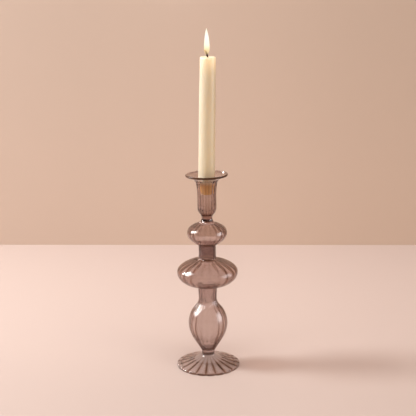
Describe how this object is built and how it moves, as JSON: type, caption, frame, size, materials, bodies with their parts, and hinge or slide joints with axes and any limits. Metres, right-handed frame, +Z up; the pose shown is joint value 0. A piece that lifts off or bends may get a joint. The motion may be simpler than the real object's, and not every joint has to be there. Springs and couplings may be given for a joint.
{
  "type": "candlestick",
  "caption": "Tall blown-glass candlestick with a fluted round foot, bulbed stem and a flared drip pan, holding a tapered candle.",
  "frame": {"origin": "centre of the foot's resting ring, on the surface the candlestick stands on", "axes": "+Z up along the stem, -Y towards the front, +X to the right seen from the front"},
  "size_m": [0.0804, 0.0804, 0.4038],
  "materials": {
    "smoky_glass": "glossy, transparent, smoky lilac-brown",
    "cream_wax": "satin wax",
    "burnt_wick": "charred braid"
  },
  "bodies": {
    "holder": {"foot": "smoky_glass", "foot_neck": "smoky_glass", "pear_bulb": "smoky_glass", "lower_collar": "smoky_glass", "middle_bulb": "smoky_glass", "upper_collar": "smoky_glass", "upper_bulb": "smoky_glass", "cup_neck": "smoky_glass", "candle_cup": "smoky_glass"},
    "candle": {"candle_wax": "cream_wax", "candle_wick": "burnt_wick"}
  },
  "joints": [
    {"name": "candle_lift", "type": "slide", "parent": "holder", "child": "candle", "axis": [0, 0, 1], "range_m": [0, 0.08]}
  ]
}
